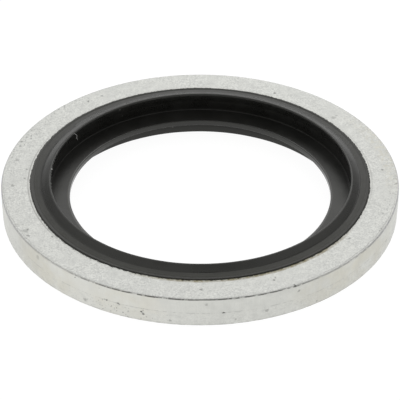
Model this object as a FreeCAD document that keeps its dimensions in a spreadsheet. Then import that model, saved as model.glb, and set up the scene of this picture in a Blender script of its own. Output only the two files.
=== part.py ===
"""Bonded sealing washer, self-centring type, for a 5/8 inch parallel pipe thread.

Two pieces. A flat ring blanked from steel strip carries a rubber seal that is moulded into its
bore and bonded there, face to face. The seal has a raised lip on each face of the ring and,
half way up, a thin web that grips the thread and centres the washer on it.

Lengths are in millimetres. The axis is Z, and the origin is on it, at the level that the lower
lip rests on. Both pieces are turned about the axis from one outline each, in which the first
coordinate is the radius and the second is the height.
"""

import FreeCAD, Part
import os

import Sketcher

# name, size in millimetres, meaning
SIZES = [
    ("steel_outer_diameter", 31.75, "outside of the steel ring"),
    ("steel_width", 2.275, "radial width of the steel ring, from its bore to its rim"),
    ("steel_thickness", 2.5, "thickness of the steel strip"),
    ("rollover_width", 0.12, "how far blanking draws the upper edge of the rim inwards"),
    ("rollover_depth", 0.22, "how far blanking draws the upper edge of the rim down"),
    ("burnished_depth", 1.3, "depth of the smooth sheared band of the rim, from the upper face"),
    ("break_taper", 0.06, "how far the torn part of the rim falls back at the lower face"),
    ("burr_bevel", 0.08, "bevel of the deburred lower edge of the rim"),
    ("seal_height", 3.87, "overall height of the rubber seal, from lip to lip"),
    ("seal_offset", 0.245, "how far the middle of the seal lies below the middle of the steel"),
    ("land_width", 0.75, "radial width of the low land beside the steel"),
    ("lip_width", 0.82, "radial width of the raised lip, from its throat to the land"),
    ("lip_slope_height", 0.33, "how far the slope of a lip climbs above its land"),
    ("lip_edge_radius", 0.19, "rounding of the crest of a lip"),
    ("wall_draft", 0.1, "how far the wall inside a lip leans back on its way to the web"),
    ("web_width", 1.67, "radial width of the web, from the wall to its free edge"),
    ("web_thickness", 0.4, "thickness of the web"),
    ("web_root_bevel", 0.12, "thickening of the web where it leaves the wall"),
]

# Levels and radii that both pieces follow, as expressions on the sheet.
BORE_RADIUS = "Sizes.steel_outer_diameter / 2 - Sizes.steel_width"
STEEL_FOOT = "Sizes.seal_height / 2 + Sizes.seal_offset - Sizes.steel_thickness / 2"

# The centre of a lip's rounded crest lies this far inside its crease, this far above it, and
# this far outside the root of the web.
CREST_TO_CREASE = "Sizes.lip_width - Sizes.lip_edge_radius"
CREASE_TO_CREST = "Sizes.lip_slope_height - Sizes.lip_edge_radius"
ROOT_TO_CREST = "Sizes.lip_edge_radius - Sizes.wall_draft"

# A point of a sketch is a curve's number and the end of it that is meant. The axes of the
# sketch have the numbers below zero, and cross at the start of the first.
START, END, CENTRE = range(1, 4)
HORIZONTAL_AXIS, VERTICAL_AXIS = range(-1, -3, -1)
ORIGIN = (HORIZONTAL_AXIS, START)

# Two places closer than this are the same place.
TOUCH = 1e-6


def make_sheet(document):
    """Writes the driving sizes on a sheet, one row each, and names the cell of each value."""
    sheet = document.addObject("Spreadsheet::Sheet", "Sizes")
    for row, (name, value, meaning) in enumerate(SIZES, start=1):
        sheet.set(f"A{row}", name)
        sheet.set(f"B{row}", str(value))
        sheet.set(f"C{row}", meaning)
        sheet.setAlias(f"B{row}", name)
    document.recompute()
    return sheet


def make_body(document, name):
    """Starts one piece of the washer, standing at the origin."""
    body = document.addObject("PartDesign::Body", name)
    body.Label = name
    body.Placement = FreeCAD.Placement()
    return body


def make_sketch(body, name):
    """Starts a sketch in the body's own upright plane, radius across and height up."""
    sketch = body.newObject("Sketcher::SketchObject", name)
    planes = {feature.Role: feature for feature in body.Origin.OriginFeatures}
    sketch.AttachmentSupport = [(planes["XZ_Plane"], "")]
    sketch.MapMode = "FlatFace"
    return sketch


def draw_outline(sketch, corners):
    """Draws a closed outline, anticlockwise, and returns the number of each of its curves.

    Each row of corners names a curve and says roughly where it starts. A row with a third
    entry is an arc by way of that point, tangent to its neighbours; the others are straight.
    """
    starts = [FreeCAD.Vector(*row[1], 0) for row in corners]
    ends = starts[1:] + starts[:1]
    curves = []
    for row, start, end in zip(corners, starts, ends):
        if len(row) > 2:
            curves.append(Part.Arc(start, FreeCAD.Vector(*row[2], 0), end))
        else:
            curves.append(Part.LineSegment(start, end))
    for curve in curves:
        sketch.addGeometry(curve, False)
    for number, curve in enumerate(curves):
        following = (number + 1) % len(curves)
        smooth = isinstance(curve, Part.Arc) or isinstance(curves[following], Part.Arc)
        kind = "Tangent" if smooth else "Coincident"
        sketch.addConstraint(Sketcher.Constraint(kind, number, END, following, START))
    return {row[0]: number for number, row in enumerate(corners)}


def dimension(sketch, name, kind, low, high, expression):
    """Adds one named distance between two points, along one axis, that follows the sheet."""
    rough = sketch.getPoint(*high) - sketch.getPoint(*low)
    distance = rough.x if kind == "DistanceX" else rough.y
    index = sketch.addConstraint(Sketcher.Constraint(kind, *low, *high, distance))
    sketch.renameConstraint(index, name)
    sketch.setExpression(f"Constraints.{name}", expression)


def round_off(sketch, name, arc, expression):
    """Gives an arc a radius that follows the sheet."""
    rough = sketch.Geometry[arc].Radius
    index = sketch.addConstraint(Sketcher.Constraint("Radius", arc, rough))
    sketch.renameConstraint(index, name)
    sketch.setExpression(f"Constraints.{name}", expression)


def revolve(body, sketch, name):
    """Turns the outline once round the axis."""
    solid = body.newObject("PartDesign::Revolution", name)
    solid.Profile = sketch
    solid.ReferenceAxis = (sketch, ["V_Axis"])
    solid.Angle = 360.0
    body.Document.recompute()
    return solid


def swept_edges(feature, sketch, curves):
    """Names the circular edges that the starting points of these curves sweep out."""
    names = []
    for curve in curves:
        corner = sketch.getPoint(curve, START)
        for number, edge in enumerate(feature.Shape.Edges, start=1):
            circle = edge.Curve
            if not isinstance(circle, Part.Circle):
                continue
            same_radius = abs(circle.Radius - corner.x) < TOUCH
            if same_radius and abs(circle.Center.z - corner.y) < TOUCH:
                names.append(f"Edge{number}")
    return names


def bevel(body, base, name, edges, size):
    """Bevels some edges of the piece by a size from the sheet."""
    beveled = body.newObject("PartDesign::Chamfer", name)
    beveled.Base = (base, edges)
    beveled.setExpression("Size", size)
    body.Document.recompute()


def make_steel_ring(document):
    """The flat ring blanked from strip, with a drawn, a sheared and a torn band on its rim."""
    body = make_body(document, "steel_ring")
    sketch = make_sketch(body, "SteelSection")
    curve = draw_outline(
        sketch,
        [
            ("foot", (13.6, 0.9)),
            ("torn", (15.8, 0.9)),
            ("burnished", (15.9, 2.1)),
            ("rollover", (15.9, 3.2)),
            ("face", (15.8, 3.4)),
            ("bore", (13.6, 3.4)),
        ],
    )
    for name in ("foot", "face"):
        sketch.addConstraint(Sketcher.Constraint("Horizontal", curve[name]))
    for name in ("burnished", "bore"):
        sketch.addConstraint(Sketcher.Constraint("Vertical", curve[name]))
    bore_foot = (curve["foot"], START)
    bore_top = (curve["bore"], START)
    rim_foot = (curve["torn"], START)
    rim_break = (curve["burnished"], START)
    rim_top = (curve["rollover"], START)
    face_edge = (curve["face"], START)
    dimension(sketch, "foot_level", "DistanceY", ORIGIN, bore_foot, STEEL_FOOT)
    dimension(sketch, "bore_radius", "DistanceX", ORIGIN, bore_foot, BORE_RADIUS)
    dimension(sketch, "ring_width", "DistanceX", bore_top, rim_top, "Sizes.steel_width")
    dimension(sketch, "thickness", "DistanceY", bore_foot, bore_top, "Sizes.steel_thickness")
    dimension(sketch, "draw_in", "DistanceX", face_edge, rim_top, "Sizes.rollover_width")
    dimension(sketch, "draw_down", "DistanceY", rim_top, face_edge, "Sizes.rollover_depth")
    dimension(sketch, "burnish", "DistanceY", rim_break, face_edge, "Sizes.burnished_depth")
    dimension(sketch, "taper", "DistanceX", rim_foot, rim_break, "Sizes.break_taper")
    ring = revolve(body, sketch, "SteelBlank")

    lower_rim = swept_edges(ring, sketch, (curve["torn"],))
    bevel(body, ring, "DeburredEdge", lower_rim, "Sizes.burr_bevel")
    return body


def make_rubber_seal(document):
    """The seal moulded in the bore: a lip on each face and the web between them."""
    body = make_body(document, "rubber_seal")
    sketch = make_sketch(body, "SealSection")
    curve = draw_outline(
        sketch,
        [
            ("bond", (13.6, 0.93)),
            ("upper_land", (13.6, 3.43)),
            ("upper_slope", (12.85, 3.54)),
            ("upper_lip", (12.29, 3.86), (12.15, 3.86)),
            ("upper_wall", (12.03, 3.67)),
            ("web_top", (12.13, 2.13)),
            ("web_edge", (10.46, 2.13)),
            ("web_foot", (10.46, 1.74)),
            ("lower_wall", (12.13, 1.74)),
            ("lower_lip", (12.03, 0.2), (12.15, 0.01)),
            ("lower_slope", (12.29, 0.01)),
            ("lower_land", (12.85, 0.33)),
        ],
    )
    bond_foot = (curve["bond"], START)
    bond_top = (curve["upper_land"], START)
    upper_crease = (curve["upper_slope"], START)
    lower_crease = (curve["lower_land"], START)
    upper_crest = (curve["upper_lip"], CENTRE)
    lower_crest = (curve["lower_lip"], CENTRE)
    upper_root = (curve["web_top"], START)
    lower_root = (curve["lower_wall"], START)
    upper_edge = (curve["web_edge"], START)
    lower_edge = (curve["web_foot"], START)

    # The outside of the seal is the bore of the steel, from face to face.
    sketch.addConstraint(Sketcher.Constraint("Vertical", curve["bond"]))
    dimension(sketch, "bond_radius", "DistanceX", ORIGIN, bond_foot, BORE_RADIUS)
    dimension(sketch, "steel_foot", "DistanceY", ORIGIN, bond_foot, STEEL_FOOT)
    dimension(sketch, "steel_face", "DistanceY", bond_foot, bond_top, "Sizes.steel_thickness")

    # The upper half, from the steel inwards.
    dimension(sketch, "land", "DistanceX", upper_crease, bond_top, "Sizes.land_width")
    dimension(sketch, "lip", "DistanceX", upper_crest, upper_crease, CREST_TO_CREASE)
    dimension(sketch, "slope", "DistanceY", upper_crease, upper_crest, CREASE_TO_CREST)
    round_off(sketch, "lip_edge", curve["upper_lip"], "Sizes.lip_edge_radius")
    dimension(sketch, "draft", "DistanceX", upper_root, upper_crest, ROOT_TO_CREST)
    sketch.addConstraint(Sketcher.Constraint("Horizontal", curve["web_top"]))
    dimension(sketch, "web", "DistanceX", upper_edge, upper_root, "Sizes.web_width")
    dimension(sketch, "web_gauge", "DistanceY", lower_edge, upper_edge, "Sizes.web_thickness")

    # The lower half mirrors it about the middle of the seal.
    middle = sketch.addGeometry(
        Part.LineSegment(FreeCAD.Vector(0, 1.93, 0), FreeCAD.Vector(10.46, 1.93, 0)), True
    )
    sketch.addConstraint(Sketcher.Constraint("Horizontal", middle))
    sketch.addConstraint(Sketcher.Constraint("PointOnObject", middle, START, VERTICAL_AXIS))
    sketch.addConstraint(Sketcher.Constraint("PointOnObject", middle, END, curve["web_edge"]))
    dimension(sketch, "middle", "DistanceY", ORIGIN, (middle, START), "Sizes.seal_height / 2")
    mirrored = [
        (lower_crease, upper_crease),
        (lower_crest, upper_crest),
        (lower_root, upper_root),
        (lower_edge, upper_edge),
    ]
    for lower, upper in mirrored:
        sketch.addConstraint(Sketcher.Constraint("Symmetric", *lower, *upper, middle))
    sketch.addConstraint(Sketcher.Constraint("Equal", curve["upper_lip"], curve["lower_lip"]))
    dimension(sketch, "rest", "DistanceY", ORIGIN, lower_crest, "Sizes.lip_edge_radius")
    seal = revolve(body, sketch, "SealMoulding")

    roots = swept_edges(seal, sketch, (curve["web_top"], curve["lower_wall"]))
    bevel(body, seal, "WebRoots", roots, "Sizes.web_root_bevel")
    return body


def check(document, bodies):
    """Stops if anything failed to build, a sketch is left loose or a piece isn't one sound solid."""
    for thing in document.Objects:
        if "Invalid" in thing.State or "Error" in thing.State:
            raise RuntimeError(f"{thing.Name} did not build: {thing.State}")
        if thing.isDerivedFrom("Sketcher::SketchObject") and not thing.FullyConstrained:
            raise RuntimeError(f"{thing.Name} is not fully constrained")
    for body in bodies:
        shape = body.Shape
        if shape.isNull() or not shape.isValid() or len(shape.Solids) != 1:
            raise RuntimeError(f"{body.Label} is not one valid solid")


def main():
    """Builds the two pieces and writes each to its own file."""
    document = FreeCAD.newDocument("BondedSealingWasher")
    make_sheet(document)
    bodies = [make_steel_ring(document), make_rubber_seal(document)]
    document.recompute()
    check(document, bodies)
    os.makedirs("parts", exist_ok=True)
    for body in bodies:
        body.Shape.exportStep(f"parts/{body.Label}.step")
        box = body.Shape.optimalBoundingBox()
        print(
            f"{body.Label}: radius {box.XMax:.3f}, height {box.ZMin:.3f} to {box.ZMax:.3f},"
            f" volume {body.Shape.Volume:.1f}"
        )


main()
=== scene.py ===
"""Bonded sealing washer on a pale table: a zinc-plated steel ring with a black rubber seal in its bore.

The pieces are turned: half a section is drawn flat, in millimetres, spun round the axis and then
brought down to metres. All sizes are in millimetres and all angles in degrees unless a name says
otherwise. Angles round the ring start at +X and run anticlockwise as seen from above.
"""

import logging
import math
from collections.abc import Callable, Mapping, Sequence
from dataclasses import dataclass, field
from enum import Enum
from typing import Any, Union

import bmesh
import bpy
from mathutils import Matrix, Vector
from mathutils.kdtree import KDTree


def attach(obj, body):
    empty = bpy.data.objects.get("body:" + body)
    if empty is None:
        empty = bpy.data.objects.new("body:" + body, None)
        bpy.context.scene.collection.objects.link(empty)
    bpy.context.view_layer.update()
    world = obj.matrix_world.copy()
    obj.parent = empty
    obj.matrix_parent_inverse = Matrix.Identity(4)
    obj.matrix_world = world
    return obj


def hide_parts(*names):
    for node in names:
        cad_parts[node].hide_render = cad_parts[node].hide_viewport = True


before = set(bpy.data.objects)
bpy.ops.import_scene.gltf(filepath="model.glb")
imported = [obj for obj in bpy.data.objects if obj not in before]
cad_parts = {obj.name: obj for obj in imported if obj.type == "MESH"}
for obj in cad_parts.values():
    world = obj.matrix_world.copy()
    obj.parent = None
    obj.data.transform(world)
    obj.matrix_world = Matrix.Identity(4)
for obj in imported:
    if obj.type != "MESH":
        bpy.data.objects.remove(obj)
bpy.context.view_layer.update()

METRES_PER_MM = 0.001
STEPS_ROUND = 864
SECTORS = 32
NEAREST = 0.001
CUT_TOLERANCE = 1e-5
BOND_RADIUS = 13.53
STEEL_FOOT = 0.93
STEEL_TOP = 3.43
WHITE = (1.0, 1.0, 1.0, 1.0)
SEEN_RAYS = ("Is Camera Ray", "Is Glossy Ray", "Is Transmission Ray")

Colour = tuple[float, float, float]
Corner = tuple[float, float]
Value = Union[float, Sequence[float], "Signal", bpy.types.NodeSocket]

logger = logging.getLogger("washer")


class Pick(Enum):
    """What an edit-mode selection is made of."""

    VERTS = "VERT"
    EDGES = "EDGE"
    FACES = "FACE"


class Slot(Enum):
    """Material slots of the record; finish() is given one but does not read it."""

    STEEL = "steel"
    RUBBER = "rubber"


class Signal:
    """One number or vector in a shader; Python's signs add Math nodes to it."""

    def __init__(self, recipe: "Recipe", socket: bpy.types.NodeSocket) -> None:
        """Wrap an output socket of a recipe's node tree."""
        self.recipe = recipe
        self.socket = socket

    def math(self, operation: str, *others: Value) -> "Signal":
        """Add one Math node: this signal is its first value, and the others follow."""
        values = dict(enumerate((self, *others)))
        return self.recipe.node("Math", {"operation": operation}, values)

    def __add__(self, other: Value) -> "Signal":
        """Return the sum."""
        return self.math("ADD", other)

    def __radd__(self, other: float) -> "Signal":
        """Return the sum with a plain number first."""
        return self.math("ADD", other)

    def __sub__(self, other: Value) -> "Signal":
        """Return the difference."""
        return self.math("SUBTRACT", other)

    def __rsub__(self, other: float) -> "Signal":
        """Return a plain number less this signal."""
        return self.math("MULTIPLY_ADD", -1.0, other)

    def __mul__(self, other: Value) -> "Signal":
        """Return the product."""
        return self.math("MULTIPLY", other)

    def __rmul__(self, other: float) -> "Signal":
        """Return the product with a plain number first."""
        return self.math("MULTIPLY", other)

    def __truediv__(self, other: Value) -> "Signal":
        """Return the quotient."""
        return self.math("DIVIDE", other)

    def __pow__(self, power: float) -> "Signal":
        """Return this signal raised to a power."""
        return self.math("POWER", power)

    def __abs__(self) -> "Signal":
        """Return the size without its sign."""
        return self.math("ABSOLUTE")

    def most(self, other: Value) -> "Signal":
        """Return the larger of two values."""
        return self.math("MAXIMUM", other)

    def least(self, other: Value) -> "Signal":
        """Return the smaller of two values."""
        return self.math("MINIMUM", other)

    def rise(self, low: float, high: float) -> "Signal":
        """Go smoothly from 0 to 1 as this signal goes from low to high.

        Args:
            low: Where the result is 0.
            high: Where it is 1; it may be below low, for a fall.

        Returns:
            The eased value.
        """
        if low > high:
            return 1.0 - self.rise(high, low)
        settings = {"interpolation_type": "SMOOTHSTEP"}
        return self.recipe.node("MapRange", settings, {0: self, 1: low, 2: high, 3: 0.0, 4: 1.0})

    def near(self, middle: float, width: float) -> "Signal":
        """Give 1 where this signal is at middle, easing to 0 a width away on either side."""
        return abs(self - middle).rise(width, 0.0)


class Recipe:
    """The node tree of one finish, with each kind of node added by one method."""

    def __init__(self, tree: bpy.types.NodeTree) -> None:
        """Take up the node tree of a material or world, and empty it."""
        self.tree = tree
        self.tree.nodes.clear()

    def node(self, kind: str, settings: Mapping[str, Any] | None = None,
             values: Mapping[int | str, Value] | None = None, output: int | str = 0) -> Signal:
        """Add a node, make its settings, then fill its sockets.

        Args:
            kind: The node's type, without the prefix that all of them share.
            settings: Its own properties.
            values: What goes into its sockets, by index or name: a number, colour or signal.
            output: The socket that is given back.

        Returns:
            That output socket as a signal.
        """
        made = self.tree.nodes.new("ShaderNode" + kind)
        for name, setting in (settings or {}).items():
            setattr(made, name, setting)
        for socket, value in (values or {}).items():
            if isinstance(value, Signal):
                value = value.socket
            if isinstance(value, bpy.types.NodeSocket):
                self.tree.links.new(value, made.inputs[socket])
            else:
                made.inputs[socket].default_value = value
        return Signal(self, made.outputs[output]) if made.outputs else Signal(self, None)

    def along(self, vector: Signal, axis: int) -> Signal:
        """Return one of a vector's three numbers."""
        return self.node("SeparateXYZ", None, {0: vector}, axis)

    def mix(self, factor: Value, first: Value, second: Value) -> Signal:
        """Mix two colours by the share of the second one."""
        settings = {"data_type": "RGBA"}
        return self.node("Mix", settings, {0: factor, 6: opaque(first), 7: opaque(second)}, 2)

    def layer(self, colour: Signal, *coats: tuple[Value, Value]) -> Signal:
        """Lay more colours over a colour, each as a pair of its share and itself.

        Args:
            colour: The colour below.
            coats: The pairs, from the lowest up.

        Returns:
            The colour on top.
        """
        for share, coat in coats:
            colour = self.mix(share, colour, coat)
        return colour

    def noise(self, place: Signal, per_mm: float, detail: float = 2.0, roughness: float = 0.5) -> Signal:
        """Add a cloudy noise, from 0 to 1 about 0.5; detail and roughness are its finer layers."""
        values = {"Vector": place, "Scale": per_mm, "Detail": detail, "Roughness": roughness}
        return self.node("TexNoise", None, values, 0)

    def specks(self, place: Signal, per_mm: float, size: float, share: float) -> Signal:
        """Add sparse round specks, each in its own cell.

        Args:
            place: Where they are read, in millimetres.
            per_mm: How many cells lie along a millimetre.
            size: A speck's radius as a share of its cell.
            share: The share of cells with a speck.

        Returns:
            1 in a speck and 0 elsewhere.
        """
        values = {"Vector": place, "Scale": per_mm}
        near = self.node("TexVoronoi", None, values, "Distance")
        cell = self.node("TexVoronoi", None, values, "Color")
        chance = self.node("SeparateColor", None, {0: cell}, 0)
        return near.rise(size, size * 0.45) * chance.math("LESS_THAN", share)

    def vector(self, operation: str, values: Mapping[int | str, Value], output: int | str = 0) -> Signal:
        """Add one Vector Math node."""
        return self.node("VectorMath", {"operation": operation}, values, output)

    def stretched(self, place: Signal, x: float, y: float, z: float) -> Signal:
        """Scale a place by another factor along each axis."""
        return self.vector("MULTIPLY", {0: place, 1: (x, y, z)})

    def bump(self, height: Signal, depth: float) -> Signal:
        """Return the normal of a relief that is depth millimetres high where height is 1."""
        values = {"Strength": 1.0, "Distance": depth * METRES_PER_MM, "Height": height}
        return self.node("Bump", None, values)

    def surface(self, values: Mapping[int | str, Value]) -> None:
        """Finish the tree with one plain surface shader, whose sockets get values by name."""
        shader = self.node("BsdfPrincipled", None, values)
        self.node("OutputMaterial", None, {"Surface": shader})


def opaque(colour: Value) -> Value:
    """Give a plain colour its fourth number, and leave a signal as it is."""
    return colour if isinstance(colour, Signal) else (*colour, 1.0)


def blank_material(name: str) -> tuple[bpy.types.Material, Recipe]:
    """Make a material with no nodes.

    Args:
        name: What it is called.

    Returns:
        The material and the recipe for its nodes.
    """
    material = bpy.data.materials.new(name)
    material.use_nodes = True
    return material, Recipe(material.node_tree)


@dataclass(frozen=True)
class Mark:
    """A small pit, speck or nick at one place of a turned part."""

    angle: float
    radius: float
    height: float
    size: float
    strength: float = 0.8

    def place(self) -> tuple[float, float, float]:
        """Return its middle, in millimetres from the origin."""
        turn = math.radians(self.angle)
        return (self.radius * math.cos(turn), self.radius * math.sin(turn), self.height)


def mark_table(*rows: Sequence[float]) -> tuple[Mark, ...]:
    """Read marks from rows of angle, radius, height, size and strength."""
    return tuple(Mark(*row) for row in rows)


class RoundPlace:
    """Where a point of a turned part lies, as signals in millimetres."""

    def __init__(self, recipe: Recipe) -> None:
        """Read the object's own coordinates.

        Args:
            recipe: The finish that they are for.
        """
        metres = recipe.node("TexCoord", None, None, "Object")
        self.recipe = recipe
        self.point = recipe.vector("SCALE", {0: metres, "Scale": 1.0 / METRES_PER_MM})
        self.x, self.y, self.height = (recipe.along(self.point, axis) for axis in range(3))
        self.radius = (self.x * self.x + self.y * self.y) ** 0.5

    def rings(self) -> Signal:
        """Return a place that changes only along the section, for marks that run right round."""
        return self.recipe.node("CombineXYZ", None, {0: self.radius, 1: self.height})

    def sector(self, middle: float, half: float) -> Signal:
        """Give 1 at one side of the ring, easing to 0 round it.

        Args:
            middle: The angle round the ring where it is 1.
            half: The angle from there to where it is 0.

        Returns:
            The eased share.
        """
        turn = math.radians(middle)
        facing = (self.x * math.cos(turn) + self.y * math.sin(turn)) / self.radius
        return facing.rise(math.cos(math.radians(half)), 1.0)

    def spot(self, mark: Mark, point: Signal) -> Signal:
        """Give a mark's strength at its middle, easing to 0 at its edge."""
        away = self.recipe.vector("DISTANCE", {0: point, 1: mark.place()}, "Value")
        return away.rise(mark.size, mark.size * 0.35) * mark.strength


@dataclass(frozen=True)
class ZincPlate:
    """Matt zinc over blanked mild steel: cloudy and grainy, with painted shade along its rolled-over edge,
    painted light on its rim, and faint stains.
    """

    pale: Colour = (0.735, 0.74, 0.705)
    dull: Colour = (0.49, 0.495, 0.475)
    edge_grey_and_shade: Colour = (0.17, 0.17, 0.165)
    soot_and_edge_shade: Colour = (0.045, 0.045, 0.04)
    stain: Colour = (0.58, 0.53, 0.39)
    primer_and_shade: Colour = (0.24, 0.21, 0.12)
    edge_shade_lilac: Colour = (0.47, 0.47, 0.50)
    lit_rim: Colour = (0.86, 0.86, 0.82)
    green_rim: Colour = (0.68, 0.685, 0.61)
    edge_radius: float = 15.82
    band_height: float = 2.13
    metallic: float = 0.85
    even_roughness: float = 0.50
    relief_depth: float = 0.014

    def make(self, name: str, marks: Sequence[Mark]) -> bpy.types.Material:
        """Make the zinc's material.

        Args:
            name: What the material is called.
            marks: The pits and specks that have a place of their own.

        Returns:
            The material.
        """
        material, recipe = blank_material(name)
        place = RoundPlace(recipe)
        point = place.point
        clouds = recipe.noise(point, 0.42, 3.0)
        blotches = recipe.noise(point, 1.5, 3.0, 0.6)
        grain = recipe.noise(point, 6.5, 3.0, 0.8)
        rim = place.radius.rise(self.edge_radius - 0.02, self.edge_radius + 0.04)
        face = 1.0 - rim
        below = place.height.rise(self.band_height + 0.05, self.band_height - 0.1)
        torn = recipe.noise(recipe.stretched(point, 2.2, 2.2, 4.0), 1.0, 3.0, 0.7)
        streaks = recipe.noise(recipe.stretched(point, 5.0, 5.0, 0.3), 1.0, 2.0)

        lively = recipe.noise(point, 0.5, 2.0).rise(0.36, 0.62) * 0.9 + 0.75
        mottle = (grain - 0.5) * (face * 1.2 + below * 0.5 + 0.35) * lively + (blotches - 0.5) * 0.6
        tone = 0.5 + (clouds - 0.5) * 0.6 + mottle + (streaks - 0.5) * rim * 0.2
        colour = recipe.mix(tone.rise(0.0, 1.0), self.dull, self.pale)
        colour = self.tint(place, colour, rim)
        colour = self.edges(place, colour, torn)
        colour = self.bond_line(place, colour)

        meeting = place.height.near(self.band_height - 0.02, 0.06) * rim
        foot = place.height.rise(1.16, 0.97) * rim * torn.rise(0.35, 0.6)
        colour = recipe.layer(
            colour,
            (meeting * torn.rise(0.42, 0.62) * 0.3, self.edge_grey_and_shade),
            (rim * below * torn.rise(0.48, 0.75) * 0.4, self.dull),
            (foot * 0.35, self.edge_grey_and_shade),
        )

        uneven = self.uneven(place)
        pits = recipe.specks(uneven, 0.8, 0.07, 0.12) * 0.6
        fine_pits = recipe.specks(uneven, 2.4, 0.15, 0.10) * blotches.rise(0.45, 0.6) * 0.4
        torn_pits = recipe.specks(uneven, 4.5, 0.30, 0.30) * rim * below * place.sector(250.0, 16.0) * 0.5
        scuffs = place.sector(144.0, 34.0) + place.sector(170.0, 22.0) + place.sector(210.0, 16.0) * 0.5
        scuffs = scuffs + place.sector(343.0, 26.0) + place.sector(14.0, 24.0) * 0.6
        mottled = recipe.specks(uneven, 4.8, 0.38, 0.40) * face * scuffs * clouds.rise(0.40, 0.54)
        dirt = pits + fine_pits + torn_pits + mottled * place.radius.rise(14.5, 15.1) * 0.33
        for mark in marks:
            dirt = dirt + place.spot(mark, uneven)
        dirt = dirt.least(1.0)
        colour = recipe.mix(dirt, colour, self.soot_and_edge_shade)

        band = (torn * below + streaks * (1.0 - below)) * rim
        relief = grain * 0.6 + blotches * 0.35 + band * 0.6 - dirt * 1.2
        uneven_gloss = (clouds - 0.5) * 0.16 + (grain - 0.5) * 0.15 + dirt * 0.25
        recipe.surface({
            "Base Color": colour,
            "Metallic": self.metallic,
            "Roughness": self.even_roughness + uneven_gloss,
            "Normal": recipe.bump(relief, self.relief_depth),
        })
        return material

    def uneven(self, place: RoundPlace) -> Signal:
        """Distort a place a little, so that marks lose their round outlines.

        Args:
            place: Where a point lies.

        Returns:
            The distorted point.
        """
        recipe = place.recipe
        values = {"Vector": place.point, "Scale": 5.0, "Detail": 2.0}
        wander = recipe.node("TexNoise", None, values, "Color")
        offset = recipe.vector("SUBTRACT", {0: wander, 1: (0.5, 0.5, 0.5)})
        return recipe.vector("MULTIPLY_ADD", {0: offset, 1: (0.28, 0.28, 0.28), 2: place.point})

    def tint(self, place: RoundPlace, colour: Signal, rim: Signal) -> Signal:
        """Add the faint yellow stains, the rim's greener tone and painted light on the rim.

        Args:
            place: Where a point lies.
            colour: The colour so far.
            rim: 1 on the outer wall.

        Returns:
            The tinted colour.
        """
        recipe = place.recipe
        patches = recipe.noise(place.point, 0.8, 3.0).rise(0.25, 0.70)
        left = place.sector(222.0, 16.0) + place.sector(249.0, 14.0) * 0.8
        yellow = (left + place.sector(317.0, 26.0)) * rim * patches
        blots = recipe.noise(place.point, 2.6, 3.0, 0.7).rise(0.42, 0.62) * place.radius.rise(14.5, 15.1)
        faint = place.sector(14.0, 26.0) * blots * (1.0 - rim)
        # Painted light: the whole rim is lightened a little, and most at the left and front left.
        painted_light = place.sector(200.0, 50.0) * 0.05 + place.sector(243.0, 28.0) * 0.35 + 0.15
        stained = (yellow + faint * 0.8).least(1.0) * 0.32
        return recipe.layer(
            colour, (painted_light * rim, self.lit_rim), (stained, self.stain), (rim * 0.12, self.green_rim))

    def edges(self, place: RoundPlace, colour: Signal, torn: Signal) -> Signal:
        """Paint shade along the rolled-over edge: a cool grey at the sides and back, a dark line strongest at
        the front, and a grey line at the left and right where the top face starts to roll over.

        Args:
            place: Where a point lies.
            colour: The colour so far.
            torn: The uneven grain of the torn metal.

        Returns:
            The colour with its painted edge shade.
        """
        recipe = place.recipe
        worn = recipe.noise(place.point, 1.5, 3.0, 0.7).rise(0.34, 0.50)
        # Painted shade: a cool grey band along the edge, fading out at the front.
        drawn = place.radius.near(self.edge_radius + 0.01, 0.10) * place.height.rise(3.2, 3.36)
        colour = recipe.mix(drawn * worn * (0.5 - place.sector(260.0, 80.0) * 0.5), colour, self.edge_shade_lilac)
        wander = recipe.noise(place.point, 1.1, 3.0, 0.65) - 0.5
        level = place.height + wander * 0.10
        # Painted shade: a dark ragged line along the rolled-over edge, strongest at the front.
        line = level.near(3.35, 0.09) * place.radius.rise(self.edge_radius - 0.01, self.edge_radius + 0.02)
        front = place.sector(268.0, 42.0) ** 0.5
        right = place.sector(318.0, 30.0) * 0.35
        left = place.sector(218.0, 30.0) * 0.22
        strength = front.most(right).most(left).most(0.05)
        colour = recipe.mix(line * worn * strength * (torn * 0.4 + 0.75), colour, self.soot_and_edge_shade)
        # Painted shade: a grey line where the top face starts to roll over, at the left and right.
        fold = (place.radius + wander * 0.35).near(self.edge_radius - 0.16, 0.055)
        sides = place.sector(322.0, 34.0) * 0.45 + place.sector(203.0, 26.0) * 0.35
        return recipe.mix(fold * place.height.rise(3.3, 3.4) * worn * sides, colour, self.edge_grey_and_shade)

    def bond_line(self, place: RoundPlace, colour: Signal) -> Signal:
        """Add a thin grey ring beside the rubber, seen mostly at the left and right, and an olive priming
        tint that also paints shade beside the rubber, strongest at the front.

        Args:
            place: Where a point lies.
            colour: The colour so far.

        Returns:
            The colour with its marks.
        """
        recipe = place.recipe
        upper = place.height.rise(3.3, 3.4)
        broken = recipe.noise(place.point, 0.6, 2.0).rise(0.30, 0.50)
        thin_grey_ring = place.radius.near(BOND_RADIUS + 0.20, 0.08) * upper
        shown = place.sector(187.0, 40.0) * 0.5 + place.sector(5.0, 30.0) * 0.2 + 0.06
        colour = recipe.mix(thin_grey_ring * (broken * 0.5 + 0.5) * shown, colour, self.edge_grey_and_shade)
        # Partly an olive priming tint, partly painted shade beside the rubber, strongest at the front.
        patchy = recipe.noise(place.point, 2.2, 3.0, 0.75).rise(0.35, 0.60) * 0.6 + 0.4
        primer_shade_smear = place.radius.rise(BOND_RADIUS + 0.36, BOND_RADIUS + 0.18) * upper
        shown = place.sector(288.0, 42.0) ** 0.5 * 0.9 + 0.03
        return recipe.mix(primer_shade_smear * patchy * shown, colour, self.primer_and_shade)


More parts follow.
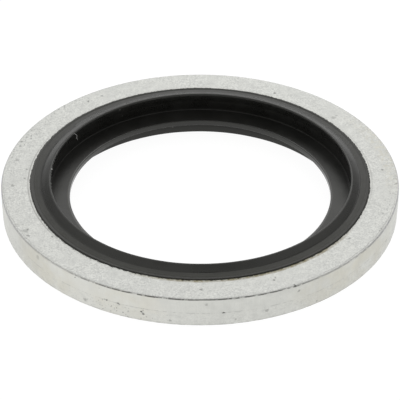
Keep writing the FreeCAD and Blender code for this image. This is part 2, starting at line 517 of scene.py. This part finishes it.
@dataclass(frozen=True)
class NitrileRubber:
    """Black moulded rubber: semi-matt, with fine turning marks from its mould and a little dust."""

    black: Colour = (0.007, 0.007, 0.006)
    bloom: Colour = (0.014, 0.014, 0.0125)
    olive: Colour = (0.018, 0.018, 0.0125)
    dust: Colour = (0.46, 0.46, 0.44)
    rubbed_highlight_grey: Colour = (0.04, 0.04, 0.037)
    film_and_light_grey: Colour = (0.075, 0.075, 0.07)
    film_radius: float = 13.47
    film_and_light: float = 0.0
    crest_radius: float = 12.0
    gloss: float = 0.5
    even_roughness: float = 0.28
    polish: float = 0.12
    polish_roughness: float = 0.08
    relief_depth: float = 0.006

    def make(self, name: str, flecks: Sequence[Mark] = ()) -> bpy.types.Material:
        """Make the rubber's material.

        Args:
            name: What the material is called.
            flecks: Pale crumbs that have a place of their own.

        Returns:
            The material.
        """
        material, recipe = blank_material(name)
        place = RoundPlace(recipe)
        point = place.point
        clouds = recipe.noise(point, 0.7, 3.0)
        grain = recipe.noise(point, 9.0, 2.0, 0.6)
        turned = recipe.noise(place.rings(), 9.0, 3.0, 0.7)
        breaks = recipe.noise(point, 0.5, 2.0).rise(0.3, 0.6)

        upper = place.height.rise(3.3, 3.5)
        land = place.radius.rise(12.7, 12.95) * upper
        bloomed = clouds.rise(0.35, 0.75) * 0.7 + (turned - 0.5) * upper * 0.35
        colour = recipe.mix(bloomed, self.black, self.bloom)
        colour = recipe.mix(land * turned.rise(0.3, 0.7), colour, self.olive)
        # Partly the skin's paler tone and partly painted light: a paler grey on the flash's edge at the back
        # and left.
        film_and_light = place.radius.rise(self.film_radius - 0.05, self.film_radius + 0.03) * upper
        colour = recipe.mix(film_and_light * place.sector(148.0, 62.0) * self.film_and_light, colour, self.film_and_light_grey)
        # Partly rubbing wear and partly a painted highlight: a paler grey on the upper lip's crest.
        crest = place.radius.near(self.crest_radius, 0.25) * place.height.rise(3.6, 3.75)
        rubbed_highlight = crest * recipe.noise(point, 2.0, 3.0).rise(0.4, 0.65)
        colour = recipe.mix(rubbed_highlight * 0.2, colour, self.rubbed_highlight_grey)

        lint = recipe.specks(point, 0.9, 0.05, 0.10) * place.radius.rise(12.6, 12.3)
        powder = recipe.specks(point, 3.4, 0.10, 0.03)
        dusty = lint * 0.55 + powder * 0.3
        for fleck in flecks:
            dusty = dusty + place.spot(fleck, point)
        dusty = dusty.least(1.0)
        colour = recipe.mix(dusty, colour, self.dust)

        ridges = turned * (upper * 0.3 + land * 1.3 + 0.2) * breaks
        relief = ridges + grain * (land * 0.8 + 0.25) + clouds * 0.4 + dusty * 1.5
        web = place.height.rise(2.5, 2.2)
        nipped = place.radius.rise(10.66, 10.56)
        matt = land * 0.12 + web * 0.11 - nipped * 0.22 + crest * 0.10 + dusty * 0.4
        recipe.surface({
            "Base Color": colour,
            "Roughness": self.even_roughness + matt + (clouds - 0.5) * 0.14,
            "Specular IOR Level": self.gloss,
            "Specular Tint": (1.0, 1.0, 0.95, 1.0),
            "Coat Weight": nipped * self.polish,
            "Coat Roughness": self.polish_roughness,
            "Normal": recipe.bump(relief, self.relief_depth),
        })
        return material


def halfway(first: Corner, last: Corner) -> Corner:
    """Return the middle between two corners of a section."""
    return (first[0] + last[0]) / 2.0, (first[1] + last[1]) / 2.0


class Workpiece:
    """A piece on the bench, shaped with the edit-mode tools.

    It is in millimetres until it is finished, so that its small forms are well above the least
    lengths that the tools tell apart.
    """

    def __init__(self, name: str) -> None:
        """Take up the piece that was just added.

        Args:
            name: Its name.
        """
        self.piece = bpy.context.object
        self.piece.name = name
        self.piece.data.name = name
        bpy.ops.object.transform_apply(location=True, rotation=True, scale=True)

    def pick(self, kind: Pick, wanted: Callable[[float, float], bool]) -> int:
        """Select what has its middle where a test says.

        Args:
            kind: Vertices, edges or faces.
            wanted: A test of a middle's radius and height.

        Returns:
            How many were selected.
        """
        bpy.ops.mesh.select_mode(type=kind.value)
        bpy.ops.mesh.select_all(action="DESELECT")
        mesh = bmesh.from_edit_mesh(self.piece.data)
        layers = {Pick.VERTS: mesh.verts, Pick.EDGES: mesh.edges, Pick.FACES: mesh.faces}
        found = 0
        for element in layers[kind]:
            if kind is Pick.VERTS:
                middle = element.co
            else:
                middle = sum((vertex.co for vertex in element.verts), Vector()) / len(element.verts)
            if wanted(math.hypot(middle.x, middle.y), middle.z):
                element.select_set(True)
                found += 1
        mesh.select_flush_mode()
        bmesh.update_edit_mesh(self.piece.data)
        return found

    def weigh(self, name: str, weight: Callable[[float, float, float], float]) -> str:
        """Make a vertex group that says how far a modifier reaches.

        Args:
            name: The group's name.
            weight: The share at an angle in degrees, a radius and a height.

        Returns:
            The group's name.
        """
        group = self.piece.vertex_groups.new(name=name)
        for vertex in self.piece.data.vertices:
            x, y, z = vertex.co
            share = weight(math.degrees(math.atan2(y, x)) % 360.0, math.hypot(x, y), z)
            if share > 0.0:
                group.add([vertex.index], min(share, 1.0), "REPLACE")
        return name

    def wear(self, name: str, grain: float, depth: float, group: str, contrast: float = 1.0) -> None:
        """Sink the surface unevenly, never raising it.

        Args:
            name: What the wear is called.
            grain: The size of its clouds.
            depth: Its greatest depth.
            group: The vertex group that it reaches.
            contrast: How strongly its clouds differ.
        """
        texture = bpy.data.textures.new(name, "CLOUDS")
        texture.noise_scale = grain
        texture.noise_depth = 2
        texture.contrast = contrast
        modifier = self.piece.modifiers.new(name, "DISPLACE")
        modifier.texture = texture
        modifier.texture_coords = "LOCAL"
        modifier.strength = depth
        modifier.mid_level = 1.0
        modifier.vertex_group = group
        self.choose()
        bpy.ops.object.modifier_apply(modifier=name)

    def dent(self, marks: Sequence[Mark], depth: float, sideways: bool) -> None:
        """Press the surface in at small places.

        Args:
            marks: Where they are and how wide.
            depth: How deep one of full strength is.
            sideways: Whether they are pressed towards the axis, and not down.
        """
        self.choose()
        bpy.ops.object.mode_set(mode="EDIT")
        bpy.ops.mesh.select_mode(type=Pick.VERTS.value)
        tree = KDTree(len(self.piece.data.vertices))
        mesh = bmesh.from_edit_mesh(self.piece.data)
        for vertex in mesh.verts:
            tree.insert(vertex.co, vertex.index)
        tree.balance()
        for mark in marks:
            bpy.ops.mesh.select_all(action="DESELECT")
            mesh = bmesh.from_edit_mesh(self.piece.data)
            mesh.verts.ensure_lookup_table()
            middle, index, _ = tree.find(mark.place())
            mesh.verts[index].select_set(True)
            bmesh.update_edit_mesh(self.piece.data)
            press = Vector((0.0, 0.0, -1.0))
            if sideways:
                press = -Vector((middle.x, middle.y, 0.0)).normalized()
            bpy.ops.transform.translate(
                value=press * depth * mark.strength,
                use_proportional_edit=True,
                proportional_edit_falloff="SMOOTH",
                proportional_size=mark.size * 1.6,
            )
        bpy.ops.object.mode_set(mode="OBJECT")

    def take_all(self, kind: Pick) -> None:
        """Select the whole of the piece that is being edited."""
        bpy.ops.mesh.select_mode(type=kind.value)
        bpy.ops.mesh.select_all(action="SELECT")

    def choose(self) -> None:
        """Make this piece the only selected one."""
        bpy.ops.object.select_all(action="DESELECT")
        self.piece.select_set(True)
        bpy.context.view_layer.objects.active = self.piece

    def finish(self, material: bpy.types.Material, slot: Slot, crease: float = 35.0) -> bpy.types.Object:
        """Bring the piece down to life size, smooth it, dress it and fix it to the body.

        Args:
            material: Its finish.
            slot: Not used.
            crease: The angle above which an edge stays sharp.

        Returns:
            The finished object.
        """
        self.choose()
        self.piece.scale = (METRES_PER_MM, METRES_PER_MM, METRES_PER_MM)
        bpy.ops.object.transform_apply(location=False, rotation=False, scale=True)
        bpy.ops.object.shade_smooth_by_angle(angle=math.radians(crease))
        self.piece.data.materials.append(material)
        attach(self.piece, "root")
        return self.piece


class Turning(Workpiece):
    """A round part at the lathe: half a section is drawn flat, then spun about the axis."""

    def __init__(self, name: str, inner: float, outer: float, low: float, high: float) -> None:
        """Stand a flat blank beside the axis.

        Args:
            name: The piece's name.
            inner: The blank's radius nearest the axis.
            outer: Its radius furthest from it.
            low: Its lowest height.
            high: Its highest height.
        """
        bpy.ops.object.select_all(action="DESELECT")
        bpy.ops.mesh.primitive_plane_add(
            size=1.0,
            location=((inner + outer) / 2.0, 0.0, (low + high) / 2.0),
            rotation=(math.radians(90.0), 0.0, 0.0),
        )
        bpy.context.object.scale = (outer - inner, high - low, 1.0)
        super().__init__(name)
        bpy.ops.object.mode_set(mode="EDIT")

    def pick_at(self, kind: Pick, radius: float, height: float) -> None:
        """Select what lies within two hundredths of a millimetre of one place of the section.

        Args:
            kind: Vertices, edges or faces.
            radius: The place's radius.
            height: Its height.
        """
        found = self.pick(kind, lambda r, z: math.hypot(r - radius, z - height) < 0.02)
        if found != 1:
            logger.warning("%s: %d found at radius %.3f, height %.3f", self.piece.name, found, radius, height)

    def radii_at(self, height: float) -> list[float]:
        """List the radii of the section's corners at one height, smallest first."""
        mesh = bmesh.from_edit_mesh(self.piece.data)
        return sorted(vertex.co.x for vertex in mesh.verts if abs(vertex.co.z - height) < NEAREST)

    def cut(self, radius: float, height: float, across: tuple[float, float], trim: bool = False) -> None:
        """Cut the flat section along a straight line.

        Args:
            radius: The radius of a point on the line.
            height: That point's height.
            across: The direction across the line, as radius and height.
            trim: Whether what lies on that side is cut off.
        """
        bpy.ops.mesh.select_all(action="SELECT")
        plane = {"plane_co": (radius, 0.0, height), "plane_no": (across[0], 0.0, across[1])}
        bpy.ops.mesh.bisect(**plane, clear_outer=trim, threshold=CUT_TOLERANCE)

    def move(self, radius: float, height: float, to_radius: float, to_height: float) -> None:
        """Move the section's corner at one radius and height to another."""
        self.pick_at(Pick.VERTS, radius, height)
        bpy.ops.transform.translate(value=(to_radius - radius, 0.0, to_height - height))

    def bow(self, middle: Corner, to: Corner) -> None:
        """Split one side of the section, and move its middle.

        Args:
            middle: The radius and height of its middle.
            to: Where that goes.
        """
        self.pick_at(Pick.EDGES, *middle)
        bpy.ops.mesh.subdivide(number_cuts=1)
        self.move(*middle, *to)

    def draw_out(self, radius: float, height: float, by: float) -> None:
        """Extrude the edge that has its middle at one place along the radius."""
        self.pick_at(Pick.EDGES, radius, height)
        bpy.ops.mesh.extrude_region_move(TRANSFORM_OT_translate={"value": (by, 0.0, 0.0)})

    def merge_faces(self) -> None:
        """Make the section one flat face again after its cuts."""
        self.take_all(Pick.FACES)
        bpy.ops.mesh.dissolve_faces()

    def round_corner(self, radius: float, height: float, bend: float, segments: int) -> None:
        """Round one corner of the section to a true radius, whatever its angle.

        Args:
            radius: The corner's radius from the axis.
            height: Its height.
            bend: The radius of the rounding.
            segments: How many short sides it gets.
        """
        self.pick_at(Pick.VERTS, radius, height)
        mesh = bmesh.from_edit_mesh(self.piece.data)
        corner = next(vertex for vertex in mesh.verts if vertex.select)
        sides = [edge.other_vert(corner).co - corner.co for edge in corner.link_edges]
        half = sides[0].angle(sides[1]) / 2.0
        offset = bend / math.tan(half)
        share = (bend / math.sin(half) - bend) / (2.0 * offset * math.cos(half))
        bpy.ops.mesh.bevel(
            offset=offset,
            segments=segments,
            profile=(1.0 - share) ** 2,
            affect="VERTICES",
            clamp_overlap=True,
        )

    def divide(self, longest: float) -> None:
        """Leave only the outline, and divide its sides.

        Args:
            longest: The longest side that is left.
        """
        self.take_all(Pick.FACES)
        bpy.ops.mesh.delete(type="ONLY_FACE")
        bpy.ops.mesh.select_mode(type=Pick.EDGES.value)
        mesh = bmesh.from_edit_mesh(self.piece.data)
        counts = sorted({math.ceil(edge.calc_length() / longest) - 1 for edge in mesh.edges})
        for count in [number for number in counts if number > 0]:
            bpy.ops.mesh.select_all(action="DESELECT")
            mesh = bmesh.from_edit_mesh(self.piece.data)
            for edge in mesh.edges:
                edge.select_set(math.ceil(edge.calc_length() / longest) - 1 == count)
            bmesh.update_edit_mesh(self.piece.data)
            bpy.ops.mesh.subdivide(number_cuts=count)

    def spin(self, steps: int) -> None:
        """Spin the outline into a narrow sector, and copy that round into a closed skin.

        Args:
            steps: How many steps it takes to go round.
        """
        self.take_all(Pick.VERTS)
        around = {"center": (0.0, 0.0, 0.0), "axis": (0.0, 0.0, 1.0)}
        bpy.ops.mesh.spin(steps=steps // SECTORS, angle=math.tau / SECTORS, **around)
        bpy.ops.mesh.select_all(action="SELECT")
        rest = SECTORS - 1
        bpy.ops.mesh.spin(steps=rest, dupli=True, angle=math.tau * rest / SECTORS, **around)
        bpy.ops.mesh.select_all(action="SELECT")
        bpy.ops.mesh.remove_doubles(threshold=NEAREST)
        bpy.ops.mesh.normals_make_consistent(inside=False)
        bpy.ops.object.mode_set(mode="OBJECT")


@dataclass
class SteelRing:
    """The ring that is blanked from strip: rolled-over top edge, smooth sheared band, torn band."""

    name: str = "blanked_steel_ring"
    outer: float = 15.87
    rolled_width: float = 0.05
    rolled_depth: float = 0.12
    rolled_bends: tuple[float, float] = (0.09, 0.20)
    band_height: float = 2.13
    taper: float = 0.02
    burr: float = 0.05
    longest_side: float = 0.125
    deep_strength: float = 0.45
    dent_depth: float = 0.07
    face_share: float = 0.7
    finish: ZincPlate = field(default_factory=ZincPlate)
    rim_marks: Sequence[Mark] = mark_table(
        (276.2, 15.87, 2.05, 0.12, 0.85), (254.0, 15.87, 1.76, 0.11, 0.85),
        (254.6, 15.87, 1.62, 0.10, 0.7), (244.0, 15.87, 2.11, 0.10, 0.7),
        (243.5, 15.87, 2.13, 0.08, 0.4), (247.3, 15.87, 2.08, 0.10, 0.65),
        (247.7, 15.87, 2.00, 0.09, 0.55), (246.2, 15.87, 1.49, 0.09, 0.6),
        (250.3, 15.87, 1.56, 0.09, 0.75), (257.0, 15.86, 1.32, 0.09, 0.6),
        (237.1, 15.84, 1.42, 0.22, 0.35), (271.7, 15.87, 2.92, 0.14, 0.25),
        (297.6, 15.87, 2.83, 0.15, 0.4), (288.3, 15.86, 1.76, 0.20, 0.3),
        (262.0, 15.84, 1.30, 0.16, 0.35), (296.5, 15.79, 3.35, 0.14, 0.7),
        (52.0, 15.86, 2.20, 0.18, 0.6), (118.0, 15.85, 1.55, 0.16, 0.7),
        (336.0, 15.86, 1.90, 0.15, 0.5), (219.0, 15.87, 2.93, 0.28, 0.2),
        (234.0, 15.87, 3.17, 0.12, 0.4), (279.6, 15.86, 1.35, 0.12, 0.3),
    )
    face_marks: Sequence[Mark] = tuple(
        Mark(angle, radius, STEEL_TOP, size, strength)
        for angle, radius, size, strength in (
            (129.6, 14.86, 0.15, 0.5), (124.1, 14.90, 0.14, 0.3), (170.5, 15.04, 0.16, 0.3),
            (175.0, 14.00, 0.12, 0.5), (180.4, 14.03, 0.12, 0.4), (184.3, 14.96, 0.22, 0.3),
            (63.5, 14.27, 0.14, 0.5), (38.5, 14.29, 0.30, 0.22), (292.3, 14.61, 0.15, 0.5),
            (293.0, 14.35, 0.12, 0.4), (270.4, 14.70, 0.17, 0.35), (215.4, 13.91, 0.12, 0.4),
            (208.5, 15.29, 0.30, 0.2), (157.5, 15.45, 0.13, 0.35), (160.4, 15.58, 0.16, 0.4),
            (162.9, 15.40, 0.12, 0.3), (169.0, 15.55, 0.14, 0.35), (208.2, 15.05, 0.14, 0.3),
            (211.0, 15.38, 0.17, 0.35), (4.3, 14.70, 0.15, 0.4), (39.0, 14.70, 0.12, 0.25),
            (324.3, 14.12, 0.14, 0.3),
        )
    )

    def build(self) -> bpy.types.Object:
        """Turn the ring, wear its edges and dress it.

        Returns:
            The finished ring.
        """
        part = Turning(self.name, BOND_RADIUS, self.outer, STEEL_FOOT, STEEL_TOP)
        part.cut(self.outer, STEEL_TOP - self.rolled_depth, (self.rolled_depth, self.rolled_width), trim=True)
        torn_height = self.band_height - STEEL_FOOT
        part.cut(self.outer, self.band_height, (torn_height, -self.taper), trim=True)
        foot = self.outer - self.taper
        part.cut(foot - self.burr, STEEL_FOOT, (1.0, -1.0), trim=True)
        part.round_corner(self.outer - self.rolled_width, STEEL_TOP, self.rolled_bends[0], 4)
        part.round_corner(self.outer, STEEL_TOP - self.rolled_depth, self.rolled_bends[1], 3)
        part.divide(self.longest_side)
        part.spin(STEPS_ROUND)
        self.wear_edges(part)
        part.dent(self.deep(self.rim_marks), self.dent_depth, True)
        part.dent(self.deep(self.face_marks), self.dent_depth * self.face_share, False)
        marks = (*self.rim_marks, *self.face_marks)
        ring = part.finish(self.finish.make("zinc_plate", marks), Slot.STEEL)
        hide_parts("steel_ring")
        return ring

    def deep(self, marks: Sequence[Mark]) -> list[Mark]:
        """List the marks that are deep enough to be pressed into the metal."""
        return [mark for mark in marks if mark.strength > self.deep_strength]

    def wear_edges(self, part: Turning) -> None:
        """Make the rolled-over edge and the torn band uneven.

        Args:
            part: The turned ring.
        """
        edge = part.weigh("rolled_edge", lambda angle, r, z: 1.0 if r > 15.6 and z > 3.1 else 0.0)
        part.wear("rolled_edge_wear", 0.9, 0.012, edge)
        torn = part.weigh("torn_band", lambda angle, r, z: 1.0 if r > 15.75 and z < self.band_height else 0.0)
        part.wear("torn_band_wear", 0.35, 0.02, torn)


@dataclass(frozen=True)
class Lip:
    """One of the two raised lips: side is 1 for the upper one and -1 for the lower one."""

    side: float
    bond_height: float
    point_radius: float
    crest_bend: float
    shoulder_bend: float
    shift: tuple[float, float]


@dataclass
class RubberSeal:
    """The moulding in the bore: a raised lip on each face, low lands and the thin gripping web."""

    name: str = "moulded_rubber_seal"
    middle: float = 1.935
    steps: int = 768
    longest_side: float = 0.15
    wall_radius: float = 12.13
    crease_radius: float = 12.74
    crease_height: float = 1.62
    crease_bend: float = 0.8
    lips: Sequence[Lip] = (
        Lip(1.0, STEEL_TOP, 11.91, 0.075, 0.75, (0.065, -0.055)),
        Lip(-1.0, STEEL_FOOT, 12.02, 0.12, 0.3, (-0.06, -0.09)),
    )
    lip_point_height: float = 2.035
    crest_height: float = 1.935
    crown_radius: float = 12.46
    crown_height: float = 1.775
    crown_bend: float = 1.6
    undercut: Corner = (0.11, 0.05)
    web_radius: float = 10.46
    web_thickness: float = 0.40
    root_bend: float = 0.02
    edge_bend: float = 0.05
    web_shift: tuple[float, float] = (0.015, 0.07)
    web_drop: tuple[float, float] = (0.07, 0.12)
    shift_levels: tuple[float, ...] = (0.36, 0.66, 0.96, 1.26)
    nib_depth: float = 0.07
    nibs: Sequence[Mark] = tuple(
        Mark(angle, 11.79, 3.83, 0.10, strength)
        for angle, strength in zip(
            (166.4, 169.0, 171.4, 173.0, 175.4, 177.1, 178.9, 180.6, 182.4, 184.1, 186.7, 188.9, 146.0),
            (0.5, 0.6, 0.8, 0.8, 1.0, 1.1, 0.9, 1.1, 1.2, 0.9, 1.1, 0.7, 0.5),
        )
    )
    flecks: Sequence[Mark] = mark_table(
        (177.1, 11.80, 3.84, 0.20, 1.0), (178.9, 11.80, 3.84, 0.10, 0.2),
        (180.6, 11.80, 3.84, 0.10, 0.2), (182.4, 11.80, 3.85, 0.12, 0.2),
        (184.1, 11.80, 3.85, 0.09, 0.15), (186.7, 11.80, 3.85, 0.13, 0.25),
        (188.9, 11.80, 3.85, 0.12, 0.15), (166.4, 11.82, 3.85, 0.14, 0.15),
        (124.3, 11.90, 3.58, 0.14, 0.15), (122.5, 11.93, 3.42, 0.11, 0.08),
        (101.2, 11.93, 0.68, 0.18, 0.3), (98.6, 11.93, 0.68, 0.12, 0.15),
        (8.6, 11.87, 3.84, 0.09, 0.1),
    )
    finish: NitrileRubber = field(default_factory=NitrileRubber)

    def build(self) -> bpy.types.Object:
        """Turn the seal from its neck outwards, and dress it.

        Returns:
            The finished seal.
        """
        half_web = self.web_thickness / 2.0
        part = Turning(self.name, self.wall_radius, BOND_RADIUS, STEEL_FOOT, STEEL_TOP)
        part.cut(self.wall_radius, self.middle + half_web, (0.0, 1.0))
        part.cut(self.wall_radius, self.middle - half_web, (0.0, 1.0))
        part.cut(self.crease_radius, self.middle, (1.0, 0.0))
        part.draw_out(self.wall_radius, self.middle, self.web_radius - self.wall_radius)
        for lip, drop in zip(self.lips, self.web_drop):
            edge = self.middle + lip.side * half_web
            part.move(self.web_radius, edge, self.web_radius, edge - drop)
        for lip in self.lips:
            crease = (self.crease_radius, self.middle + lip.side * self.crease_height)
            point = (lip.point_radius, self.middle + lip.side * self.lip_point_height)
            part.move(self.crease_radius, lip.bond_height, *crease)
            part.move(self.wall_radius, lip.bond_height, *point)
            part.bow(halfway(crease, point), self.crown_point(lip))
        upper_point = (self.lips[0].point_radius, self.middle + self.lip_point_height)
        radius, height = halfway((self.wall_radius, self.middle + half_web), upper_point)
        part.bow((radius, height), (radius + self.undercut[0], height + self.undercut[1]))
        part.merge_faces()
        for lip, drop in zip(self.lips, self.web_drop):
            self.flatten_crest(part, lip)
            crease_height = self.middle + lip.side * self.crease_height
            root = self.middle + lip.side * half_web
            part.round_corner(self.crease_radius, crease_height, self.crease_bend, 5)
            part.round_corner(*self.crown_point(lip), self.crown_bend, 3)
            part.round_corner(self.wall_radius, root, self.root_bend, 3)
            part.round_corner(self.web_radius, root - drop, self.edge_bend, 3)
        part.divide(self.longest_side)
        part.spin(self.steps)
        skin = part.weigh("skin", lambda angle, r, z: 1.0 if r < BOND_RADIUS - 0.05 else 0.0)
        part.wear("mould_shrinkage", 2.5, 0.02, skin)
        self.settle(part)
        part.dent(self.nibs, self.nib_depth, True)
        seal = part.finish(self.finish.make("nitrile_rubber", self.flecks), Slot.RUBBER, 40.0)
        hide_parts("rubber_seal")
        return seal

    def flatten_crest(self, part: Turning, lip: Lip) -> None:
        """Cut a lip's point off level and round the two corners of the flat.

        Args:
            part: The seal's section, which is one face.
            lip: The lip.
        """
        level = self.middle + lip.side * self.crest_height
        part.cut(lip.point_radius, level, (0.0, lip.side), trim=True)
        crest, shoulder = part.radii_at(level)
        part.round_corner(crest, level, lip.crest_bend, 4)
        part.round_corner(shoulder, level, lip.shoulder_bend, 4)

    def crown_point(self, lip: Lip) -> tuple[float, float]:
        """Return the radius and height of a lip's crowned slope at its crown."""
        return self.crown_radius, self.middle + lip.side * self.crown_height

    def settle(self, part: Turning) -> None:
        """Move the lips and web a little off the steel's centre, as they were moulded.

        Args:
            part: The turned seal.
        """
        part.choose()
        bpy.ops.object.mode_set(mode="EDIT")
        part.pick(Pick.VERTS, lambda r, z: r < self.crease_radius)
        bpy.ops.transform.translate(value=(*self.web_shift, 0.0))
        for lip in self.lips:
            step = (Vector((*lip.shift, 0.0)) - Vector((*self.web_shift, 0.0))) / len(self.shift_levels)
            for level in self.shift_levels:
                part.pick(Pick.VERTS,
                          lambda r, z: r < self.crease_radius and (z - self.middle) * lip.side > level)
                bpy.ops.transform.translate(value=step)
        bpy.ops.object.mode_set(mode="OBJECT")


@dataclass
class SealFlash:
    """The thin skin of rubber that squeezed out over the steel, torn to a ragged edge."""

    name: str = "seal_flash"
    inner: float = 13.20
    outer: float = 13.57
    thickness: float = 0.075
    sunk: float = 0.004
    crown_width: float = 0.09
    inner_slope: float = 0.22
    crown_bend: float = 0.12
    longest_side: float = 0.13
    edge_width: float = 0.02
    steps: int = 1280
    finish: NitrileRubber = field(default_factory=lambda: NitrileRubber(
        # This turns on a paler grey at the back and left of the edge: partly the skin's paler tone, partly
        # painted light.
        film_and_light=1.0,
        gloss=0.45,
        even_roughness=0.3,
    ))

    def build(self) -> bpy.types.Object:
        """Turn the skin, tear its edge and dress it.

        Returns:
            The finished skin.
        """
        top = STEEL_TOP + self.thickness
        crown = self.outer - self.crown_width
        part = Turning(self.name, self.inner, self.outer, STEEL_TOP - self.sunk, top)
        part.cut(crown, top, (self.thickness, self.crown_width), trim=True)
        part.cut(crown, top, (-self.inner_slope, 1.0), trim=True)
        part.round_corner(crown, top, self.crown_bend, 4)
        part.divide(self.longest_side)
        part.spin(self.steps)
        self.tear(part, part.weigh("torn_edge", self.torn_share))
        return part.finish(self.finish.make("torn_rubber"), Slot.RUBBER)

    def torn_share(self, angle: float, radius: float, height: float) -> float:
        """Tell how badly a place is torn: only the edge is, and least at the back of the ring."""
        back = max(0.0, math.cos(math.radians(angle - 85.0)))
        return 1.0 - 0.5 * back if radius > self.outer - self.edge_width else 0.0

    def tear(self, part: Turning, group: str) -> None:
        """Draw the outer edge back unevenly, as far as a vertex group says."""
        part.wear("long_tears", 1.3, 0.06, group, 1.6)
        part.wear("short_tears", 0.17, 0.07, group, 2.6)


@dataclass
class LintThread:
    """A short crooked hair of rubber that hangs from the upper lip down the wall."""

    name: str = "lint_thread"
    thickness: float = 0.027
    course: Sequence[Mark] = mark_table(
        (150.6, 11.90, 3.83, 0.0), (150.2, 11.83, 3.74, 0.0),
        (149.3, 11.81, 3.54, 0.0), (149.5, 11.80, 3.34, 0.0),
        (149.5, 11.82, 3.24, 0.0), (148.6, 11.86, 3.09, 0.0),
        (148.3, 11.90, 2.92, 0.0),
    )
    finish: NitrileRubber = field(default_factory=lambda: NitrileRubber(
        black=(0.42, 0.42, 0.41),
        bloom=(0.55, 0.55, 0.53),
    ))

    def build(self) -> bpy.types.Object:
        """Draw the hair out through its course and dress it.

        Returns:
            The finished hair.
        """
        places = [Vector(mark.place()) for mark in self.course]
        bpy.ops.object.select_all(action="DESELECT")
        bpy.ops.mesh.primitive_circle_add(
            vertices=6,
            radius=self.thickness,
            fill_type="NGON",
            location=places[0],
        )
        part = Workpiece(self.name)
        bpy.ops.object.mode_set(mode="EDIT")
        part.take_all(Pick.FACES)
        for here, there in zip(places, places[1:]):
            bpy.ops.mesh.extrude_region_move(TRANSFORM_OT_translate={"value": there - here})
        bpy.ops.mesh.select_all(action="SELECT")
        bpy.ops.mesh.normals_make_consistent(inside=False)
        bpy.ops.object.mode_set(mode="OBJECT")
        return part.finish(self.finish.make("lint"), Slot.RUBBER)


@dataclass(frozen=True)
class Lamp:
    """A round soft lamp that shines at the washer: its place and width in metres, and its power."""

    name: str
    place: tuple[float, float, float]
    width: float
    power: float


@dataclass
class Studio:
    """The table, the soft lamps, the white surroundings and the camera."""

    camera_place: tuple[float, float, float] = (0.0, -0.13208, 0.09362)
    camera_tilt: float = 55.03
    lens: float = 180.0
    sensor_width: float = 36.0
    view_depth: tuple[float, float] = (0.005, 20.0)
    floor_size: float = 4.0
    floor_white: Colour = (0.82, 0.82, 0.82)
    floor_roughness: float = 0.9
    floor_glow: float = 1.11
    glow_share: float = 0.86
    upper_dimming: float = 0.56
    lamps: Sequence[Lamp] = (
        Lamp("back_window", (0.02, 0.56, 0.41), 0.46, 0.64),
        Lamp("top_lamp", (-0.05, -0.08, 0.58), 0.30, 0.06),
    )

    def build(self) -> None:
        """Set the whole studio up round the washer."""
        self.place_camera()
        self.lay_floor()
        self.hang_lamps()
        self.fill_world()
        bpy.context.scene.view_settings.view_transform = "Standard"

    def place_camera(self) -> None:
        """Put the camera where the ellipses of the ring say that it stood."""
        bpy.ops.object.select_all(action="DESELECT")
        turn = (math.radians(self.camera_tilt), 0.0, 0.0)
        bpy.ops.object.camera_add(location=self.camera_place, rotation=turn)
        camera = bpy.context.object
        camera.data.lens = self.lens
        camera.data.sensor_width = self.sensor_width
        camera.data.clip_start, camera.data.clip_end = self.view_depth
        bpy.context.scene.camera = camera

    def lay_floor(self) -> None:
        """Lay a plain pale table under the washer; it looks white and keeps a soft shadow."""
        bpy.ops.object.select_all(action="DESELECT")
        bpy.ops.mesh.primitive_plane_add(size=self.floor_size, location=(0.0, 0.0, 0.0))
        floor = bpy.context.object
        floor.name = "table"
        bpy.ops.object.mode_set(mode="EDIT")
        bpy.ops.mesh.subdivide(number_cuts=3)
        bpy.ops.object.mode_set(mode="OBJECT")
        material, recipe = blank_material("white_card")
        pale = {"Base Color": opaque(self.floor_white), "Roughness": self.floor_roughness}
        card = recipe.node("BsdfPrincipled", None, pale)
        glow = recipe.node("Emission", None, {"Color": WHITE, "Strength": self.floor_glow})
        share = self.seen(recipe) * self.glow_share
        mixed = recipe.node("MixShader", None, {0: share, 1: card, 2: glow})
        recipe.node("OutputMaterial", None, {"Surface": mixed})
        floor.data.materials.append(material)

    def seen(self, recipe: Recipe) -> Signal:
        """Give 1 where the camera looks, also by way of a mirror or through glass, and else 0."""
        camera, mirror, glass = (recipe.node("LightPath", None, None, name) for name in SEEN_RAYS)
        return camera.most(mirror).most(glass)

    def hang_lamps(self) -> None:
        """Hang two large soft lamps: one behind, as a bright window, and one above."""
        for lamp in self.lamps:
            bpy.ops.object.select_all(action="DESELECT")
            aim = Vector(lamp.place).to_track_quat("Z", "Y").to_euler()
            bpy.ops.object.light_add(type="AREA", location=lamp.place, rotation=aim)
            light = bpy.context.object
            light.name = lamp.name
            light.data.shape = "DISK"
            light.data.size = lamp.width
            light.data.energy = lamp.power

    def fill_world(self) -> None:
        """Surround the table with a white room: bright low down, dim above that, paler near the top."""
        world = bpy.data.worlds.new("white_surroundings")
        world.use_nodes = True
        recipe = Recipe(world.node_tree)
        direction = recipe.node("TexCoord", None, None, "Generated")
        up, across = recipe.along(direction, 2), recipe.along(direction, 0)
        room = 1.0 - up.rise(0.12, 0.30) * self.upper_dimming
        room = room + up.rise(0.45, 0.85) * 0.44 - up.rise(0.92, 1.0) * 0.42
        room = room - up.near(0.83, 0.16) * across.near(0.0, 0.35) * 0.35
        sky = recipe.node("Background", None, {"Color": WHITE, "Strength": room})
        recipe.node("OutputWorld", None, {"Surface": sky})
        bpy.context.scene.world = world


def main() -> None:
    """Build the studio and the washer, and report each piece."""
    logging.basicConfig(level=logging.INFO, format="%(name)s: %(message)s")
    Studio().build()
    ring = SteelRing().build()
    seal = RubberSeal().build()
    flash = SealFlash().build()
    thread = LintThread().build()
    for piece in (ring, seal, flash, thread):
        faces = len(piece.data.polygons)
        logger.info("%s: %d faces", piece.name, faces)


if __name__ == "__main__":
    main()
